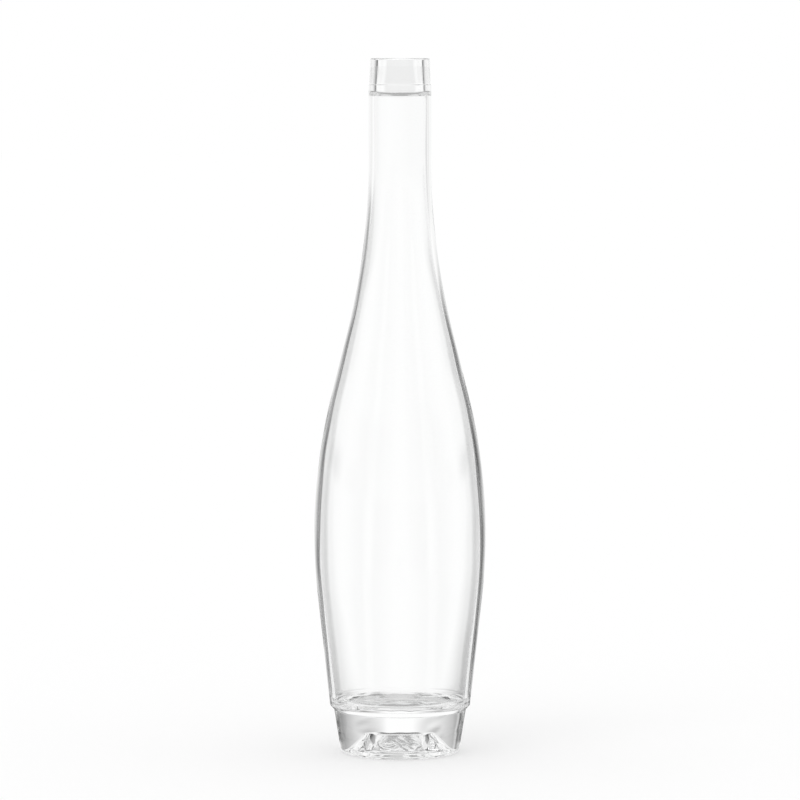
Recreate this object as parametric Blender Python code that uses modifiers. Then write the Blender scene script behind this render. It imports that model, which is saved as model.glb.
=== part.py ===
# Half-litre spirits bottle in clear glass, one blown piece standing on its foot.
# The axis is Z, the table is the plane Z = 0 and all sizes are in metres.

import math

import bpy

# Overall
BOTTLE_HEIGHT = 0.300

# Mouth ring: a plain band for a push-in stopper
RING_HEIGHT = 0.01125
RING_RADIUS = 0.01315
RING_TOP_RADIUS = 0.01285
RING_EDGE_ROUND = 0.0009
COLLAR_RADIUS = 0.01342
COLLAR_STEP = 0.0002
COLLAR_HEIGHT = 0.0034

# Bore for the stopper: nearly straight at the lip, opening downwards, then a short flare to the neck's hollow
MOUTH_RADIUS = 0.00956
MOUTH_EDGE_ROUND = 0.0008
BORE_TOP_RADIUS = 0.00965
BORE_TOP_LENGTH = 0.0034
BORE_RADIUS = 0.0102
BORE_LENGTH = 0.0108
BORE_LOW_RADIUS = 0.01036
BORE_LOW_LENGTH = 0.0149
BORE_FLARE = 0.0011
BORE_FLARE_ROUND = 0.0030

# Neck, shoulder and belly, outside
NECK_RADIUS = 0.0135
NECK_LENGTH = 0.0325
BELLY_RADIUS = 0.0371
BELLY_HEIGHT = 0.095
BELLY_CURVE_SHARE = 0.375
NECK_CURVE_SHARE = 0.460
TAPER_CURVE_SHARE = 0.370

# Foot: a ledge, a drafted side, a rounded heel and a flat ring to stand on
FOOT_HEIGHT = 0.0208
FOOT_LEDGE = 0.0017
FOOT_LEDGE_DROP = 0.0019
FOOT_EDGE_ROUND = 0.0008
BODY_FOOT_RADIUS = 0.0303
HEEL_RADIUS = 0.0255
HEEL_ROUND = 0.0024
STAND_WIDTH = 0.0018

# Push-up under the foot
PUNT_DEPTH = 0.0109
PUNT_TOP_RADIUS = 0.0098
PUNT_TOP_ROUND = 0.0012
PUNT_LOW_RADIUS = 0.0150
PUNT_LIP_HEIGHT = 0.0024
PUNT_LIP_ROUND = 0.0040
STAND_INNER_ROUND = 0.0010

# Walls and the floor of the hollow
NECK_WALL = 0.0022
SHOULDER_WALL = 0.0019
BODY_WALL = 0.0025
SHOULDER_THIN_SHARE = 0.650
BODY_THICK_SHARE = 0.100
FLOOR_HEIGHT = 0.0230
FLOOR_ROUND = 0.0022
FLOOR_DISH = 0.0008

# Fineness of the turned mesh
TURN_STEPS = 60
ROUND_CHORD = 0.0015
LEAST_ROUND_STEPS = 2
SHOULDER_STEPS = 11
TAPER_STEPS = 4

GLASS_COLOUR = (0.95, 0.97, 0.97, 1.0)
GLASS_ROUGHNESS = 0.02
GLASS_IOR = 1.52
MERGE_DISTANCE = 0.00001


def eased(share, first, last):
    """How far a bend has gone at a share of its way: a parabola, a straight run, and a parabola again."""
    slope = 1 / (1 - (first + last) / 2)
    if share < first:
        return slope * share * share / (2 * first)
    if share > 1 - last:
        return 1 - slope * (1 - share) ** 2 / (2 * last)
    return slope * (share - first / 2)


def neck_foot_height():
    return BOTTLE_HEIGHT - RING_HEIGHT - NECK_LENGTH


def outer_radius(height):
    """Outside radius of the body and the neck, from the foot's ledge up to the mouth ring."""
    if height >= neck_foot_height():
        return NECK_RADIUS
    if height >= BELLY_HEIGHT:
        share = (height - BELLY_HEIGHT) / (neck_foot_height() - BELLY_HEIGHT)
        gone = eased(share, BELLY_CURVE_SHARE, NECK_CURVE_SHARE)
        return BELLY_RADIUS + (NECK_RADIUS - BELLY_RADIUS) * gone
    share = (BELLY_HEIGHT - height) / (BELLY_HEIGHT - FOOT_HEIGHT)
    gone = eased(share, TAPER_CURVE_SHARE, 0)
    return BELLY_RADIUS + (BODY_FOOT_RADIUS - BELLY_RADIUS) * gone


def wall(height):
    """Thickness of the glass: full in the body, thinnest up the shoulder, thicker again at the neck."""
    rise = neck_foot_height() - BELLY_HEIGHT
    share = (height - BELLY_HEIGHT) / rise
    if share <= BODY_THICK_SHARE:
        return BODY_WALL
    if share <= SHOULDER_THIN_SHARE:
        way = (share - BODY_THICK_SHARE) / (SHOULDER_THIN_SHARE - BODY_THICK_SHARE)
        return BODY_WALL + (SHOULDER_WALL - BODY_WALL) * eased(way, 0.5, 0.5)
    way = min((share - SHOULDER_THIN_SHARE) / (1 - SHOULDER_THIN_SHARE), 1)
    return SHOULDER_WALL + (NECK_WALL - SHOULDER_WALL) * eased(way, 0.5, 0.5)


def inner_radius(height):
    return outer_radius(height) - wall(height)


def rounded(before, corner, after, radius):
    """Points of the arc that rounds a corner between two straight runs of an outline."""
    back = math.atan2(before[1] - corner[1], before[0] - corner[0])
    ahead = math.atan2(after[1] - corner[1], after[0] - corner[0])
    half = ((ahead - back + math.pi) % (2 * math.pi) - math.pi) / 2
    reach = radius / abs(math.tan(half))
    middle = back + half
    centre_reach = radius / abs(math.sin(half))
    centre_r = corner[0] + centre_reach * math.cos(middle)
    centre_z = corner[1] + centre_reach * math.sin(middle)
    start_r = corner[0] + reach * math.cos(back)
    start_z = corner[1] + reach * math.sin(back)
    start = math.atan2(start_z - centre_z, start_r - centre_r)
    turn = math.copysign(math.pi - 2 * abs(half), -half)
    steps = max(LEAST_ROUND_STEPS, math.ceil(radius * abs(turn) / ROUND_CHORD))
    angles = [start + turn * step / steps for step in range(steps + 1)]
    return [(centre_r + radius * math.cos(a), centre_z + radius * math.sin(a)) for a in angles]


def outline(corners):
    """A run of corners, each a radius, a height and a round, as points with the rounds worked out."""
    points = []
    for index, (radius, height, edge_round) in enumerate(corners):
        if edge_round > 0:
            points += rounded(corners[index - 1], (radius, height), corners[index + 1], edge_round)
        else:
            points.append((radius, height))
    return points


def heights(low, high, steps):
    return [low + (high - low) * step / steps for step in range(steps + 1)]


def hollow_points():
    """The inside from the middle of the floor up the walls to the foot of the mouth's bore."""
    corner = inner_radius(FLOOR_HEIGHT)
    up = [(inner_radius(z), z, 0) for z in heights(BELLY_HEIGHT, neck_foot_height(), SHOULDER_STEPS)]
    low_wall = heights(FLOOR_HEIGHT + 2 * FLOOR_ROUND, BELLY_HEIGHT, TAPER_STEPS)[:-1]
    return outline(
        [
            (0, FLOOR_HEIGHT - FLOOR_DISH, 0),
            (corner, FLOOR_HEIGHT, FLOOR_ROUND),
            *[(inner_radius(z), z, 0) for z in low_wall],
            *up,
        ]
    )


def mouth_points():
    """The flare up to the bore, the bore, the lip, the outside of the ring and the step to the neck."""
    ring_foot = BOTTLE_HEIGHT - RING_HEIGHT
    bore_low = BOTTLE_HEIGHT - BORE_LOW_LENGTH
    return outline(
        [
            (NECK_RADIUS - NECK_WALL, bore_low - BORE_FLARE, 0),
            (BORE_LOW_RADIUS, bore_low, BORE_FLARE_ROUND),
            (BORE_RADIUS, BOTTLE_HEIGHT - BORE_LENGTH, 0),
            (BORE_TOP_RADIUS, BOTTLE_HEIGHT - BORE_TOP_LENGTH, 0),
            (MOUTH_RADIUS, BOTTLE_HEIGHT, MOUTH_EDGE_ROUND),
            (RING_TOP_RADIUS, BOTTLE_HEIGHT, RING_EDGE_ROUND),
            (RING_RADIUS, ring_foot, 0),
            (COLLAR_RADIUS, ring_foot - COLLAR_STEP, 0),
            (NECK_RADIUS, ring_foot - COLLAR_HEIGHT, 0),
        ]
    )


def body_points():
    """The outside of the neck, shoulder, belly and body, from the top down to the foot's ledge."""
    shoulder = heights(BELLY_HEIGHT, neck_foot_height(), SHOULDER_STEPS)[::-1]
    taper = heights(FOOT_HEIGHT, BELLY_HEIGHT, TAPER_STEPS)[1:-1][::-1]
    return [(outer_radius(z), z) for z in shoulder + taper]


def foot_points():
    """The ledge, the foot's side, the heel, the ring it stands on and the push-up, ending on the axis."""
    last_body = heights(FOOT_HEIGHT, BELLY_HEIGHT, TAPER_STEPS)[1]
    base_top = FOOT_HEIGHT - FOOT_LEDGE_DROP
    draft = (BODY_FOOT_RADIUS - FOOT_LEDGE - HEEL_RADIUS) / base_top
    tangent = HEEL_ROUND * math.tan((math.pi / 2 - math.atan(draft)) / 2)
    stand_outer = HEEL_RADIUS - tangent
    stand_inner = stand_outer - STAND_WIDTH
    return outline(
        [
            (outer_radius(last_body), last_body, 0),
            (BODY_FOOT_RADIUS, FOOT_HEIGHT, FOOT_EDGE_ROUND),
            (BODY_FOOT_RADIUS - FOOT_LEDGE, base_top, FOOT_EDGE_ROUND),
            (HEEL_RADIUS, 0, HEEL_ROUND),
            (stand_inner, 0, STAND_INNER_ROUND),
            (PUNT_LOW_RADIUS, PUNT_LIP_HEIGHT, PUNT_LIP_ROUND),
            (PUNT_TOP_RADIUS, PUNT_DEPTH, PUNT_TOP_ROUND),
            (0, PUNT_DEPTH, 0),
        ]
    )[1:]


def turned(name, points, material, collection):
    """A closed solid from an outline on the XZ plane, turned about Z with a Screw modifier."""
    mesh = bpy.data.meshes.new(name)
    vertices = [(radius, 0, height) for radius, height in points]
    edges = [(index, index + 1) for index in range(len(points) - 1)]
    mesh.from_pydata(vertices, edges, [])
    mesh.materials.append(material)
    part = bpy.data.objects.new(name, mesh)
    collection.objects.link(part)
    screw = part.modifiers.new("Turn", "SCREW")
    screw.axis = "Z"
    screw.steps = TURN_STEPS
    screw.render_steps = TURN_STEPS
    screw.use_merge_vertices = True
    screw.merge_threshold = MERGE_DISTANCE
    screw.use_smooth_shade = True
    return part


def clear_glass():
    material = bpy.data.materials.new("clear_glass")
    material.use_nodes = True
    shader = material.node_tree.nodes["Principled BSDF"]
    shader.inputs["Base Color"].default_value = GLASS_COLOUR
    shader.inputs["Metallic"].default_value = 0
    shader.inputs["Roughness"].default_value = GLASS_ROUGHNESS
    shader.inputs["IOR"].default_value = GLASS_IOR
    shader.inputs["Transmission Weight"].default_value = 1
    return material


def main():
    for old in list(bpy.data.objects):
        bpy.data.objects.remove(old, do_unlink=True)
    bottle = bpy.data.collections.new("Liquor bottle")
    bpy.context.scene.collection.children.link(bottle)
    points = hollow_points() + mouth_points() + body_points() + foot_points()
    turned("glass_bottle", points, clear_glass(), bottle)


main()
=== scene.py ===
# Clear glass spirits bottle, turned from one closed outline, in a soft white studio.
import math

import bpy
import numpy as np
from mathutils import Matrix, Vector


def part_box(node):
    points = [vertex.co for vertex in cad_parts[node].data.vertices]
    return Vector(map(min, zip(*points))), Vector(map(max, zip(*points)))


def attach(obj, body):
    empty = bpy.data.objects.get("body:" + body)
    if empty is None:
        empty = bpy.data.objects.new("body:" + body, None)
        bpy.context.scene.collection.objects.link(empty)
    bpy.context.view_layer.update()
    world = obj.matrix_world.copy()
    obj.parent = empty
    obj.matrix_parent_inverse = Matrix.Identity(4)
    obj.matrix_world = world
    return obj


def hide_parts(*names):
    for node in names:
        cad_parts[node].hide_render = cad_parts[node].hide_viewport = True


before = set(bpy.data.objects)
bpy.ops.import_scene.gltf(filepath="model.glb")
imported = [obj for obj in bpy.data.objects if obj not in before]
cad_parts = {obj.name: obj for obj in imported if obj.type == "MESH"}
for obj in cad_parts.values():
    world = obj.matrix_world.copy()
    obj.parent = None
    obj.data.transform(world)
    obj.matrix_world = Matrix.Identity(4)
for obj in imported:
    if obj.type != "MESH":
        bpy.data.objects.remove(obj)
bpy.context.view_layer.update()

nodeName = "glass_bottle"
mm = 0.001
tiny = 1e-9

# Everything a user would change on the glass. Lengths are in millimetres, shares have no unit.
bottleSizes = {
    "ringHeight": 11.25,
    "ringRadius": 13.15,
    "ringTopRadius": 12.85,
    "ringEdgeRound": 0.9,
    "ringFootRound": 0.15,
    "mouthRadius": 9.56,
    "mouthEdgeRound": 0.8,
    "boreTopRadius": 9.65,
    "boreStraight": 3.4,
    "boreTopRound": 6.0,
    "boreRadius": 10.2,
    "boreLength": 10.8,
    "boreRound": 6.0,
    "boreLowRadius": 10.36,
    "boreLowLength": 14.9,
    "boreFlareRound": 3.0,
    "boreFlare": 1.1,
    "boreFootRound": 0.2,
    "collarRadius": 13.42,
    "collarStep": 0.2,
    "collarEdgeRound": 0.15,
    "collarHeight": 3.4,
    "collarRound": 6.0,
    "neckRadius": 13.5,
    "neckLength": 32.5,
    "bellyHeight": 95.0,
    "bellyCurveShare": 0.375,
    "neckCurveShare": 0.460,
    "taperCurveShare": 0.370,
    "footHeight": 20.8,
    "footLedge": 1.7,
    "footLedgeDrop": 1.9,
    "footEdgeRound": 0.8,
    "bodyFootRadius": 30.3,
    "heelRadius": 25.5,
    "heelRound": 2.4,
    "standWidth": 1.8,
    "puntDepth": 10.9,
    "puntTopRadius": 9.8,
    "puntTopRound": 1.2,
    "puntLowRadius": 15.0,
    "puntLipHeight": 2.4,
    "puntLipRound": 4.0,
    "standInnerRound": 1.0,
    "neckWall": 2.2,
    "shoulderWall": 1.9,
    "bodyWall": 2.5,
    "shoulderThinShare": 0.65,
    "bodyThickShare": 0.10,
    "floorHeight": 23.0,
    "floorRound": 2.2,
    "floorCrown": -0.8,
    "wallStart": 2,  # floor rounds between the floor and the foot of the wall's curve
    "bodyEnd": 1.2,  # foot heights between the table and the end of the body's curve
    "turnSteps": 208,
    "pointGap": 2.2,
    "footGap": 1.1,
    "fineBelow": 24.0,
    "supportGap": 0.12,
    "shortestRun": 3,  # support gaps in the shortest straight run that gets points of its own
    "clearOfEnds": 1.5,  # support gaps that the other points keep from both ends of a run
    "samePlace": 1e-6,
    "roundPoints": 7,
    "finerHeel": 2,  # times as many points as in the other rounds
    "finerFloor": 3,
}

# How uneven the glass is, in millimetres: long waves everywhere and short ones in the foot
unevenness = {
    "seed": 7,
    "wallHeight": 0.016,
    "footHeight": 0.012,
    "longWaves": {"number": 10, "round": (1, 7), "length": (24.0, 90.0)},
    "shortWaves": {"number": 14, "round": (5, 24), "length": (4.5, 12.0)},
    "footTop": (23.0, 29.0),
    "standTop": (0.2, 2.5),
    "poleRadius": 5.0,
    "leastRadius": 1.0,
}


def eased(share, first, last):
    # A parabola over the first share, a straight run, then a parabola over the last share, as arrays
    slope = 1 / (1 - (first + last) / 2)
    start = slope * share ** 2 / (2 * max(first, tiny))
    end = 1 - slope * (1 - share) ** 2 / (2 * max(last, tiny))
    return np.where(share < first, start, np.where(share > 1 - last, end, slope * (share - first / 2)))


def outerRadius(height, size):
    # Neck radius above, an eased fall to the belly below it, and an eased taper from the belly to the foot
    belly, bellyRadius = size["bellyHeight"], size["bellyRadius"]
    up = np.clip((height - belly) / (size["neckFoot"] - belly), 0, 1)
    down = np.clip((belly - height) / (belly - size["footHeight"]), 0, 1)
    shoulder = (size["neckRadius"] - bellyRadius) * eased(up, size["bellyCurveShare"], size["neckCurveShare"])
    taper = (size["bodyFootRadius"] - bellyRadius) * eased(down, size["taperCurveShare"], 0)
    return bellyRadius + shoulder + taper


def wallAt(height, size):
    # Full in the body, eased down to its thinnest up the shoulder and eased up again to the neck
    share = np.clip((height - size["bellyHeight"]) / (size["neckFoot"] - size["bellyHeight"]), 0, 1)
    thick, thinnest = size["bodyThickShare"], size["shoulderThinShare"]
    first = np.clip((share - thick) / (thinnest - thick), 0, 1)
    second = np.clip((share - thinnest) / (1 - thinnest), 0, 1)
    thin = (size["shoulderWall"] - size["bodyWall"]) * eased(first, 0.5, 0.5)
    return size["bodyWall"] + thin + (size["neckWall"] - size["shoulderWall"]) * eased(second, 0.5, 0.5)


def innerRadius(height, size):
    return outerRadius(height, size) - wallAt(height, size)


def cornerArc(before, corner, after, radius, count):
    # The arc that rounds a corner: its centre lies on the corner's bisector, and its angles run from one
    # tangent point to the other
    back = math.atan2(before[1] - corner[1], before[0] - corner[0])
    ahead = math.atan2(after[1] - corner[1], after[0] - corner[0])
    half = ((ahead - back + math.pi) % (2 * math.pi) - math.pi) / 2
    centreReach = radius / abs(math.sin(half))
    centre = np.array(corner) + centreReach * np.array([math.cos(back + half), math.sin(back + half)])
    start = math.atan2(math.sin(back) * radius / abs(math.tan(half)) + corner[1] - centre[1],
                       math.cos(back) * radius / abs(math.tan(half)) + corner[0] - centre[0])
    turn = math.copysign(math.pi - 2 * abs(half), -half)
    angles = start + turn * np.linspace(0, 1, count)
    return centre + radius * np.column_stack([np.cos(angles), np.sin(angles)])


def joined(pieces, size):
    # Straight runs between the pieces of an outline get points a gap apart, with one close to each end
    support = size["supportGap"]
    points = [pieces[0]]
    for piece in pieces[1:]:
        start, end = points[-1][-1], piece[0]
        length = float(np.hypot(*(end - start)))
        gap = size["footGap"] if max(start[1], end[1]) < size["fineBelow"] else size["pointGap"]
        if length > size["shortestRun"] * support:
            count = int(length / gap)
            inner = np.arange(1, count + 1) / (count + 1)
            ends = np.array([support, length - support]) / length
            clear = ends[0] * size["clearOfEnds"]
            shares = np.unique(np.concatenate([inner[(inner > clear) & (inner < 1 - clear)], ends]))
            points.append(start + shares[:, None] * (end - start))
        points.append(piece if length > size["samePlace"] else piece[1:])
    return np.concatenate(points)


def curve(radiusOf, low, high, size):
    # A run of the outline that follows a radius worked out from its height
    count = max(int(abs(high - low) / size["pointGap"]), 2)
    height = np.linspace(low, high, count)
    return np.column_stack([radiusOf(height, size), height])


def bottleOutline(size):
    # Floor's middle, up the inner wall, over the mouth, down the outside, round the heel and up the push-up
    top, ringFoot, neckFoot = size["height"], size["height"] - size["ringHeight"], size["neckFoot"]
    count = size["roundPoints"]

    def arc(before, corner, after, name, finer=1):
        return cornerArc(before, corner, after, size[name], count * finer)

    floorCorner = (float(innerRadius(np.array(size["floorHeight"]), size)), size["floorHeight"])
    wallAbove = size["floorHeight"] + size["wallStart"] * size["floorRound"]
    innerNeck = size["neckRadius"] - size["neckWall"]
    boreFoot = (size["boreRadius"], top - size["boreLength"])
    flareTop = (size["boreLowRadius"], top - size["boreLowLength"])
    flareFoot = (innerNeck, flareTop[1] - size["boreFlare"])
    boreTop = (size["boreTopRadius"], top - size["boreStraight"])
    lip = (size["mouthRadius"], top)
    ringTop, ringLow = (size["ringTopRadius"], top), (size["ringRadius"], ringFoot)
    collar = (size["collarRadius"], ringFoot - size["collarStep"])
    neckTop = (size["neckRadius"], ringFoot - size["collarHeight"])
    bodyEnd = size["footHeight"] * size["bodyEnd"]
    bodyAbove = (float(outerRadius(np.array(bodyEnd), size)), bodyEnd)
    ledgeTop = (size["bodyFootRadius"], size["footHeight"])
    baseTop = (size["bodyFootRadius"] - size["footLedge"], size["footHeight"] - size["footLedgeDrop"])
    heel = (size["heelRadius"], 0)
    draft = (baseTop[0] - heel[0]) / baseTop[1]
    standOuter = size["heelRadius"] - size["heelRound"] * math.tan((math.pi / 2 - math.atan(draft)) / 2)
    standInner = (standOuter - size["standWidth"], 0)
    puntLip = (size["puntLowRadius"], size["puntLipHeight"])
    puntTop = (size["puntTopRadius"], size["puntDepth"])
    floorMiddle = (0, size["floorHeight"] + size["floorCrown"])
    wallFoot = (float(innerRadius(np.array(wallAbove), size)), wallAbove)
    pieces = [
        np.array([floorMiddle]),
        arc(floorMiddle, floorCorner, wallFoot, "floorRound", size["finerFloor"]),
        curve(innerRadius, wallAbove, neckFoot, size),
        arc((innerNeck, neckFoot), flareFoot, flareTop, "boreFootRound"),
        arc(flareFoot, flareTop, boreFoot, "boreFlareRound"),
        arc(flareTop, boreFoot, boreTop, "boreRound"),
        arc(boreFoot, boreTop, lip, "boreTopRound"),
        arc(boreTop, lip, ringTop, "mouthEdgeRound"),
        arc(lip, ringTop, ringLow, "ringEdgeRound"),
        arc(ringTop, ringLow, collar, "ringFootRound"),
        arc(ringLow, collar, neckTop, "collarEdgeRound"),
        arc(collar, neckTop, (size["neckRadius"], neckFoot), "collarRound"),
        curve(outerRadius, neckFoot, bodyEnd, size),
        arc(bodyAbove, ledgeTop, baseTop, "footEdgeRound"),
        arc(ledgeTop, baseTop, heel, "footEdgeRound"),
        arc(baseTop, heel, standInner, "heelRound", size["finerHeel"]),
        arc(heel, standInner, puntLip, "standInnerRound"),
        arc(standInner, puntLip, puntTop, "puntLipRound", size["finerHeel"]),
        arc(puntLip, puntTop, (0, size["puntDepth"]), "puntTopRound"),
        np.array([[0, size["puntDepth"]]]),
    ]
    return joined(pieces, size)


def unevenGlass(along, angle, outline):
    # Sum of cos(k a + 2 pi s / l + p) over waves of k rounds, length l and phase p, where a is the angle and
    # s the place along the outline, times a height that fades out at the table and at the axis
    random = np.random.default_rng(unevenness["seed"])
    radius, height = outline[:, 0], outline[:, 1]

    def waves(name):
        kind = unevenness[name]
        rounds = random.integers(*kind["round"], kind["number"])
        lengths = random.uniform(*kind["length"], kind["number"])
        phases = random.uniform(0, 2 * np.pi, kind["number"])
        turned = angle[None, :, None] * rounds + 2 * np.pi * along[:, None, None] / lengths + phases
        return np.cos(turned).sum(axis=2) / math.sqrt(kind["number"] / 2)

    def rise(low, high):
        share = np.clip((height - low) / (high - low), 0, 1)
        return share * share * (3 - 2 * share)

    foot = 1 - rise(*unevenness["footTop"])
    fade = rise(*unevenness["standTop"]) * radius ** 2 / (radius ** 2 + unevenness["poleRadius"] ** 2)
    wall = unevenness["wallHeight"] * fade
    short = unevenness["footHeight"] * fade * foot
    return wall[:, None] * waves("longWaves") + short[:, None] * waves("shortWaves")


def turnedMesh(name, outline, steps):
    # x = r cos a, y = r sin a, z = h over a grid of angle and outline point, closed by a point at each pole
    angle = np.arange(steps) * 2 * np.pi / steps
    rows = len(outline) - 2
    cos, sin = np.cos(angle), np.sin(angle)

    # The outline runs up the inside and down the outside, with the air on its left
    length = np.concatenate([[0], np.cumsum(np.hypot(*np.diff(outline, axis=0).T))])
    along = np.gradient(outline, length, axis=0)
    along /= np.linalg.norm(along, axis=1)[:, None]
    outward = np.column_stack([-along[:, 1], along[:, 0]])

    def turnedWay(way):
        # A direction in the outline's plane, turned with it
        return np.stack([way[:, :1] * cos, way[:, :1] * sin, np.repeat(way[:, 1:], steps, axis=1)], axis=2)

    # Every point moves along its normal by the unevenness d, and the normal leans back by the slopes of d
    lift = unevenGlass(length, angle, outline)
    slopeDown = np.gradient(lift, length, axis=0)
    slopeRound = (np.roll(lift, -1, axis=1) - np.roll(lift, 1, axis=1)) * steps / (4 * np.pi)
    slopeRound /= np.maximum(outline[:, :1], unevenness["leastRadius"])
    around = np.stack([-sin, cos, np.zeros(steps)], axis=1)
    facing = turnedWay(outward)
    grid = turnedWay(outline) + lift[:, :, None] * facing
    leaning = facing - slopeDown[:, :, None] * turnedWay(along) - slopeRound[:, :, None] * around
    leaning /= np.linalg.norm(leaning, axis=2)[:, :, None]
    poles = np.array([[0, 0, outline[0, 1]], [0, 0, outline[-1, 1]]])
    points = np.concatenate([grid[1:-1].reshape(-1, 3), poles]) * mm
    normals = np.concatenate([leaning[1:-1].reshape(-1, 3), [[0, 0, 1], [0, 0, -1]]])

    row, column = np.meshgrid(np.arange(rows - 1), np.arange(steps), indexing="ij")
    after = (column + 1) % steps
    quads = np.stack([row * steps + column, (row + 1) * steps + column,
                      (row + 1) * steps + after, row * steps + after], axis=2).reshape(-1, 4)
    here = np.arange(steps)
    following = (here + 1) % steps
    first = np.stack([np.full(steps, rows * steps), here, following], axis=1)
    lastRow = (rows - 1) * steps
    last = np.stack([np.full(steps, rows * steps + 1), lastRow + following, lastRow + here], axis=1)

    mesh = bpy.data.meshes.new(name)
    faces = quads.tolist() + first.tolist() + last.tolist()
    mesh.from_pydata(points.tolist(), [], faces)
    mesh.validate()
    mesh.shade_smooth()
    mesh.normals_split_custom_set_from_vertices(normals.tolist())
    mesh.update()
    return mesh


glassLook = {"tint": (0.995, 0.997, 0.996, 1), "roughness": 0.0, "bending": 1.52, "clearness": 1}


def glassMaterial():
    material = bpy.data.materials.new("clearGlass")
    material.use_nodes = True
    shader = material.node_tree.nodes["Principled BSDF"]
    shader.inputs["Base Color"].default_value = glassLook["tint"]
    shader.inputs["Roughness"].default_value = glassLook["roughness"]
    shader.inputs["IOR"].default_value = glassLook["bending"]
    shader.inputs["Transmission Weight"].default_value = glassLook["clearness"]
    return material


def makeBottle():
    low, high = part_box(nodeName)
    size = dict(bottleSizes)
    size["height"] = (high[2] - low[2]) / mm
    size["bellyRadius"] = (high[0] - low[0]) / 2 / mm
    size["neckFoot"] = size["height"] - size["ringHeight"] - size["neckLength"]
    outline = bottleOutline(size)
    mesh = turnedMesh("bottleGlass", outline, size["turnSteps"])
    mesh.materials.append(glassMaterial())
    bottle = bpy.data.objects.new("bottle_glass", mesh)
    bpy.context.scene.collection.objects.link(bottle)
    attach(bottle, "root")
    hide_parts(nodeName)
    print("bottle", len(outline), "points,", sum(len(p.vertices) - 2 for p in mesh.polygons), "triangles")


# The studio: a white floor and world, and a ring round the upper bottle. Lengths are in metres, angles in
# degrees. The camera sees them white, but what the glass reflects and lets through is painted grey in places,
# as
# between dark cards: these greys light nothing and only the glass shows them, as painted reflections. Each
# list of levels gives a grey, 0 to 1, for angles to the left and right of straight behind the bottle, and
# each pair of numbers is where one zone gives way to the next.
studio = {
    "floorSize": 24.0,
    "floorColour": (0.95, 0.95, 0.95, 1),
    "floorRoughness": 0.9,
    "floorGloss": 0.0,
    "floorGlow": 0.5,
    "worldLevel": 0.975,
    "worldColour": (1, 1, 1, 1),
    "sunStrength": 0.32,
    "sunSpread": 30,
    "sunTilt": (30, -25, 0),
    "farLevels": [(-45, 1), (-40, 1), (-37.5, 0.1), (-30, 0.25), (-20, 0.6), (-8, 1), (8, 1), (20, 0.43),
                  (30, 0.12), (37.5, 0.1), (40, 1), (45, 1)],
    "footLevels": [(-90, 0.9), (-76, 0.1), (-67, 0.35), (-60, 0.03), (-55, 0.7), (-50, 0.4), (-29, 0.75),
                   (-18, 1), (18, 1), (40, 0.55), (56, 0.25), (60, 0.3), (70, 0.05), (76, 0.08), (90, 0.9)],
    "bodyLevels": [(-45, 1), (-42.5, 0.1), (-38, 0.2), (-28, 0.54), (-10, 1), (10, 1), (28, 0.4), (38, 0.1),
                   (42.5, 0.1), (45, 1)],
    "shoulderLevels": [(-45, 1), (-44, 1), (-42, 0.1), (-35, 0.2), (-26, 0.52), (-10, 1), (10, 1), (26, 0.4),
                       (35, 0.1), (42, 0.1), (44, 1), (45, 1)],
    "lowNeckLevels": [(-90, 1), (-54, 0.95), (-38, 0.2), (-17, 0.9), (-7, 1), (7, 1), (30, 0.92), (46, 1),
                      (90, 1)],
    "neckLevels": [(-90, 1), (-50, 1), (-35, 0.85), (-5, 1), (5, 0.97), (30, 0.95), (36, 0.83), (42, 0.95),
                   (51, 0.7), (59, 0.7), (64, 1), (90, 1)],
    "mouthLevels": [(-90, 1), (-68, 1), (-63, 0), (-54, 0.35), (-33, 1), (-12, 1), (-9, 0.87), (9, 0.87),
                    (12, 1), (36, 1), (50, 0.7), (63, 0), (68, 1), (90, 1)],
    "nearLevels": [(-90, 0.5), (-70, 0.3), (-58, 0.05), (-28, 0.05), (-22, 0.6), (-16, 1), (16, 1), (22, 0.6),
                   (28, 0.05), (58, 0.05), (70, 0.3), (90, 0.5)],
    "sideFrom": (41, 45),
    "frontFrom": (84, 90),
    "paleShare": 0.72,
    # painted shade under the middle of the bottle, which the glass shows through the push-up
    "centreShadeLevel": 0.45,
    "centreToUnder": (0.016, 0.024),
    "underLevel": 1.0,
    "underToNear": (0.034, 0.042),
    "nearToFar": (0.075, 0.095),
    "highLevel": 0.85,
    "topLevel": 0.6,
    "farToFoot": (1.2, 3.6),
    "footToHigh": (14.0, 20.0),
    "highToTop": (55.0, 62.0),
    "backPatch": {"level": 0.2, "bottom": (5.2, 7.2), "top": (16.0, 20.0), "half": (11.0, 17.0)},
    "ringReach": 0.25,
    "ringSpan": (0.142, 0.46),
    "ringFade": (0.142, 0.166),
    "ringSides": 180,
    "bodyToShoulder": (0.155, 0.195),
    "shoulderToLowNeck": (0.198, 0.230),
    "lowNeckToNeck": (0.235, 0.250),
    "neckToMouth": (0.280, 0.285),
    # the ring's painted grey above the mouth's height, shown only in the glass
    "mouthToAboveMouth": (0.3225, 0.330),
    "aboveMouthLevel": 0.4,
}


def mathNode(tree, kind, first, second=None):
    node = tree.nodes.new("ShaderNodeMath")
    node.operation = kind
    for socket, value in zip(node.inputs, (first, second)):
        if value is None:
            continue
        if isinstance(value, (int, float)):
            socket.default_value = value
        else:
            tree.links.new(value, socket)
    return node.outputs[0]


def levelRamp(tree, value, low, high, stops):
    # A grey level in straight steps from stop to stop, each an angle in degrees and its level
    ramp = tree.nodes.new("ShaderNodeValToRGB")
    ramp.color_ramp.interpolation = "LINEAR"
    fromLow = mathNode(tree, "SUBTRACT", value, math.radians(low))
    tree.links.new(mathNode(tree, "DIVIDE", fromLow, math.radians(high - low)), ramp.inputs[0])
    while len(ramp.color_ramp.elements) > 1:
        ramp.color_ramp.elements.remove(ramp.color_ramp.elements[-1])
    for index, (degrees, level) in enumerate(stops):
        place = (degrees - low) / (high - low)
        stop = ramp.color_ramp.elements[0] if index == 0 else ramp.color_ramp.elements.new(place)
        stop.position = place
        stop.color = (level, level, level, 1)
    return ramp.outputs[0]


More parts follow.
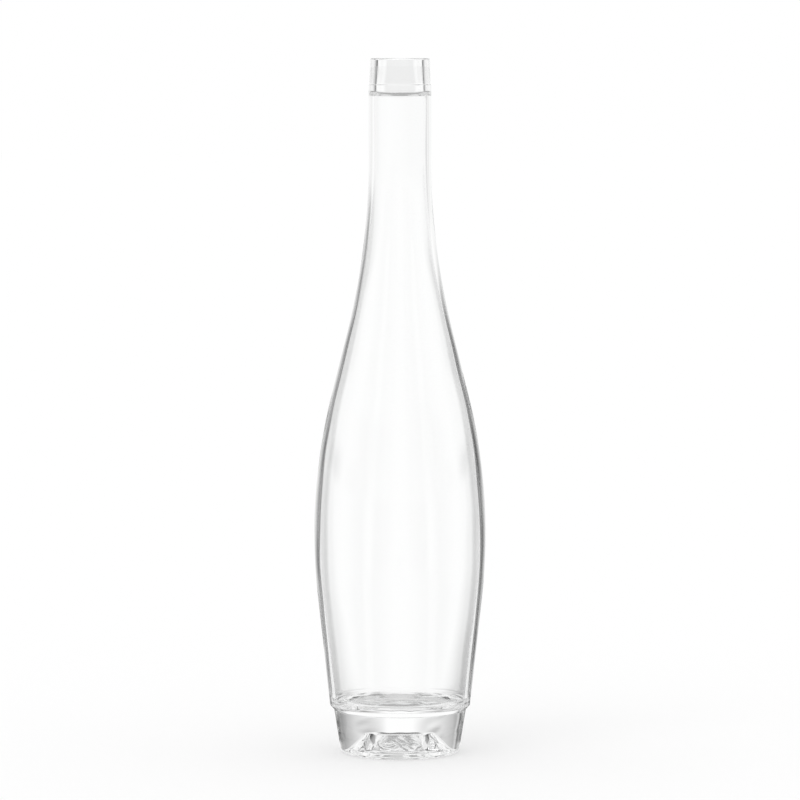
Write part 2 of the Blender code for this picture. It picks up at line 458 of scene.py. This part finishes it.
def sidedRamp(tree, azimuth, half, stops):
    # The azimuth is wrapped to half a period each way, so that the pattern repeats round the bottle
    wrapped = tree.nodes.new("ShaderNodeMath")
    wrapped.operation = "WRAP"
    tree.links.new(azimuth, wrapped.inputs[0])
    wrapped.inputs[1].default_value = math.radians(half)
    wrapped.inputs[2].default_value = -math.radians(half)
    return levelRamp(tree, wrapped.outputs[0], -half, half, stops)


def azimuthOf(tree, split):
    # angle away from straight behind the bottle, clockwise from above
    return mathNode(tree, "ARCTAN2", split.outputs["X"], split.outputs["Y"])


def splitPlace(tree, coordinates):
    place = tree.nodes.new("ShaderNodeTexCoord")
    split = tree.nodes.new("ShaderNodeSeparateXYZ")
    tree.links.new(place.outputs[coordinates], split.inputs[0])
    return split


def stepBetween(tree, value, start, end):
    # 0 up to the start, 1 from the end on, and a smooth step between them
    step = tree.nodes.new("ShaderNodeMapRange")
    step.interpolation_type = "SMOOTHSTEP"
    tree.links.new(value, step.inputs["Value"])
    step.inputs["From Min"].default_value = start
    step.inputs["From Max"].default_value = end
    return step.outputs["Result"]


def blend(tree, share, first, second):
    # first * (1 - share) + second * share
    kept = mathNode(tree, "MULTIPLY", mathNode(tree, "SUBTRACT", 1, share), first)
    return mathNode(tree, "ADD", kept, mathNode(tree, "MULTIPLY", share, second))


def paler(tree, azimuth, name, level):
    # levels move towards white to the sides or on the camera's side of the bottle
    away = stepBetween(tree, mathNode(tree, "ABSOLUTE", azimuth), *(math.radians(v) for v in studio[name]))
    return blend(tree, mathNode(tree, "MULTIPLY", away, studio["paleShare"]), level, 1)


def quarterLevels(tree, azimuth, name):
    # the same levels on all four sides of the bottle
    return paler(tree, azimuth, "sideFrom", sidedRamp(tree, azimuth, 45, studio[name]))


def halfLevels(tree, azimuth, name):
    # the same levels behind the bottle and in front of it
    return paler(tree, azimuth, "frontFrom", sidedRamp(tree, azimuth, 90, studio[name]))


def makeFloor():
    half = studio["floorSize"] / 2
    mesh = bpy.data.meshes.new("floor")
    corners = [(-half, -half, 0), (half, -half, 0), (half, half, 0), (-half, half, 0)]
    mesh.from_pydata(corners, [], [(0, 1, 2, 3)])
    material = bpy.data.materials.new("paleFloorWithPaintedReflections")
    material.use_nodes = True
    tree = material.node_tree
    shader = tree.nodes["Principled BSDF"]
    shader.inputs["Base Color"].default_value = studio["floorColour"]
    shader.inputs["Roughness"].default_value = studio["floorRoughness"]
    shader.inputs["Specular IOR Level"].default_value = studio["floorGloss"]
    split = splitPlace(tree, "Object")
    squares = [mathNode(tree, "MULTIPLY", split.outputs[name], split.outputs[name]) for name in ("X", "Y")]
    reach = mathNode(tree, "SQRT", mathNode(tree, "ADD", *squares))
    azimuth = azimuthOf(tree, split)
    far = quarterLevels(tree, azimuth, "farLevels")
    # painted shade: for the glass the floor is darker under the middle of the push-up
    beyondCentre = stepBetween(tree, reach, *studio["centreToUnder"])
    under = blend(tree, beyondCentre, studio["centreShadeLevel"], studio["underLevel"])
    near = halfLevels(tree, azimuth, "nearLevels")
    shown = blend(tree, stepBetween(tree, reach, *studio["nearToFar"]), near, far)
    level = blend(tree, stepBetween(tree, reach, *studio["underToNear"]), under, shown)
    # the glass is shown the levels as painted reflections, the floor glowing at them in place of being lit,
    # and the camera a mix of white and the floor as it is lit
    path = tree.nodes.new("ShaderNodeLightPath")
    glossy, seen = path.outputs["Is Glossy Ray"], path.outputs["Is Camera Ray"]
    glow = tree.nodes.new("ShaderNodeEmission")
    strength = mathNode(tree, "ADD", mathNode(tree, "MULTIPLY", glossy, level), seen)
    tree.links.new(strength, glow.inputs["Strength"])
    mix = tree.nodes.new("ShaderNodeMixShader")
    share = mathNode(tree, "ADD", glossy, mathNode(tree, "MULTIPLY", seen, studio["floorGlow"]))
    tree.links.new(share, mix.inputs["Fac"])
    tree.links.new(shader.outputs[0], mix.inputs[1])
    tree.links.new(glow.outputs[0], mix.inputs[2])
    tree.links.new(mix.outputs[0], tree.nodes["Material Output"].inputs["Surface"])
    mesh.materials.append(material)
    floor = bpy.data.objects.new("floor", mesh)
    bpy.context.scene.collection.objects.link(floor)
    print("floor", studio["floorSize"], "m wide")


def makeRing():
    # A ring round the upper bottle, which shows only in the glass: it glows at grey levels for glass rays and
    # paints reflections and dark edges into the glass. x = r sin a, y = r cos a, z = h over a grid of two
    # heights and the angle
    angle = np.arange(studio["ringSides"]) * 2 * np.pi / studio["ringSides"]
    side = studio["ringReach"] * np.stack([np.sin(angle), np.cos(angle)], axis=1)
    edges = [np.column_stack([side, np.full(len(angle), height)]) for height in studio["ringSpan"]]
    points = np.concatenate(edges)
    first = np.arange(len(angle))
    after = (first + 1) % len(angle)
    faces = np.stack([first, after, after + len(angle), first + len(angle)], axis=1)
    mesh = bpy.data.meshes.new("paintedReflectionRing")
    mesh.from_pydata(points.tolist(), [], faces.tolist())
    material = bpy.data.materials.new("paintedReflectionRing")
    material.use_nodes = True
    tree = material.node_tree
    split = splitPlace(tree, "Object")
    azimuth = azimuthOf(tree, split)

    def over(lower, upper, name):
        # one set of levels gives way to the next above it
        return blend(tree, stepBetween(tree, split.outputs["Z"], *studio[name]), lower, upper)

    body, shoulder = (quarterLevels(tree, azimuth, name) for name in ("bodyLevels", "shoulderLevels"))
    names = ("lowNeckLevels", "neckLevels", "mouthLevels")
    lowNeck, neck, mouth = (halfLevels(tree, azimuth, name) for name in names)
    level = over(over(body, shoulder, "bodyToShoulder"), lowNeck, "shoulderToLowNeck")
    level = over(level, neck, "lowNeckToNeck")
    level = over(over(level, mouth, "neckToMouth"), studio["aboveMouthLevel"], "mouthToAboveMouth")
    glow = tree.nodes.new("ShaderNodeEmission")
    tree.links.new(level, glow.inputs["Strength"])
    clear = tree.nodes.new("ShaderNodeBsdfTransparent")
    path = tree.nodes.new("ShaderNodeLightPath")
    mix = tree.nodes.new("ShaderNodeMixShader")
    # the ring comes in softly above its lower edge, so that the glass shows no line there
    risen = stepBetween(tree, split.outputs["Z"], *studio["ringFade"])
    tree.links.new(mathNode(tree, "MULTIPLY", path.outputs["Is Glossy Ray"], risen), mix.inputs["Fac"])
    tree.links.new(clear.outputs[0], mix.inputs[1])
    tree.links.new(glow.outputs[0], mix.inputs[2])
    tree.links.new(mix.outputs[0], tree.nodes["Material Output"].inputs["Surface"])
    mesh.materials.append(material)
    ring = bpy.data.objects.new("paintedReflectionRing", mesh)
    bpy.context.scene.collection.objects.link(ring)
    print("ring", len(angle), "sides")


def makeWorld():
    world = bpy.data.worlds.new("studio")
    bpy.context.scene.world = world
    world.use_nodes = True
    tree = world.node_tree
    nodes, links = tree.nodes, tree.links
    nodes.clear()
    out = nodes.new("ShaderNodeOutputWorld")
    back = nodes.new("ShaderNodeBackground")
    back.inputs["Color"].default_value = studio["worldColour"]
    links.new(back.outputs[0], out.inputs["Surface"])
    split = splitPlace(tree, "Generated")
    azimuth = azimuthOf(tree, split)
    rise = mathNode(tree, "ARCSINE", split.outputs["Z"])

    def shareOf(value, degrees):
        return stepBetween(tree, value, *(math.radians(angle) for angle in degrees))

    def over(lower, upper, name):
        # one set of levels gives way to the next above it
        return blend(tree, shareOf(rise, studio[name]), lower, upper)

    far = quarterLevels(tree, azimuth, "farLevels")
    foot = halfLevels(tree, azimuth, "footLevels")
    high = paler(tree, azimuth, "frontFrom", studio["highLevel"])
    level = over(over(far, foot, "farToFoot"), high, "footToHigh")
    # a painted reflection: a grey patch low behind the bottle, which only the push-up and the ledge above the
    # foot show
    patch = studio["backPatch"]
    inPatch = mathNode(tree, "SUBTRACT", shareOf(rise, patch["bottom"]), shareOf(rise, patch["top"]))
    aside = shareOf(mathNode(tree, "ABSOLUTE", azimuth), patch["half"])
    inPatch = mathNode(tree, "MULTIPLY", inPatch, mathNode(tree, "SUBTRACT", 1, aside))
    level = blend(tree, inPatch, level, patch["level"])
    through = over(level, studio["topLevel"], "highToTop")
    path = nodes.new("ShaderNodeLightPath")
    # the glass is shown the levels as painted reflections, the camera white, and what the world lights gets
    # the world's own level
    forCamera = mathNode(tree, "MULTIPLY", path.outputs["Is Camera Ray"], 1 - studio["worldLevel"])
    plain = mathNode(tree, "ADD", forCamera, studio["worldLevel"])
    links.new(blend(tree, path.outputs["Is Glossy Ray"], plain, through), back.inputs["Strength"])
    print("world of", studio["worldLevel"])


def makeLamp():
    light = bpy.data.lights.new("softSun", "SUN")
    light.energy = studio["sunStrength"]
    light.angle = math.radians(studio["sunSpread"])
    lamp = bpy.data.objects.new("softSun", light)
    lamp.rotation_euler = [math.radians(angle) for angle in studio["sunTilt"]]
    bpy.context.scene.collection.objects.link(lamp)
    print("sun of", studio["sunStrength"])


# Distance and height in metres, the look down in degrees and the sensor in millimetres
cameraSizes = {
    "distance": 1.9557,
    "height": 0.300,
    "lookDown": 4.3,
    "focalPixels": 4546,
    "imagePixels": 800,
    "sensor": 36,
    "seesTo": 50,
}


def makeCamera():
    data = bpy.data.cameras.new("camera")
    data.sensor_width = cameraSizes["sensor"]
    data.lens = cameraSizes["focalPixels"] / cameraSizes["imagePixels"] * cameraSizes["sensor"]
    data.clip_end = cameraSizes["seesTo"]
    camera = bpy.data.objects.new("camera", data)
    camera.location = (0, -cameraSizes["distance"], cameraSizes["height"])
    camera.rotation_euler = (math.radians(90 - cameraSizes["lookDown"]), 0, 0)
    bpy.context.scene.collection.objects.link(camera)
    bpy.context.scene.camera = camera
    print("camera", round(data.lens), "mm")


# Light runs round inside thick glass many times before it leaves
lightBounces = {"inGlass": 128, "throughRing": 16}

makeCamera()
makeWorld()
makeLamp()
makeFloor()
makeRing()
makeBottle()

scene = bpy.context.scene
scene.view_settings.view_transform = "Standard"
scene.cycles.max_bounces = lightBounces["inGlass"]
scene.cycles.transmission_bounces = lightBounces["inGlass"]
scene.cycles.glossy_bounces = lightBounces["inGlass"]
scene.cycles.transparent_max_bounces = lightBounces["throughRing"]
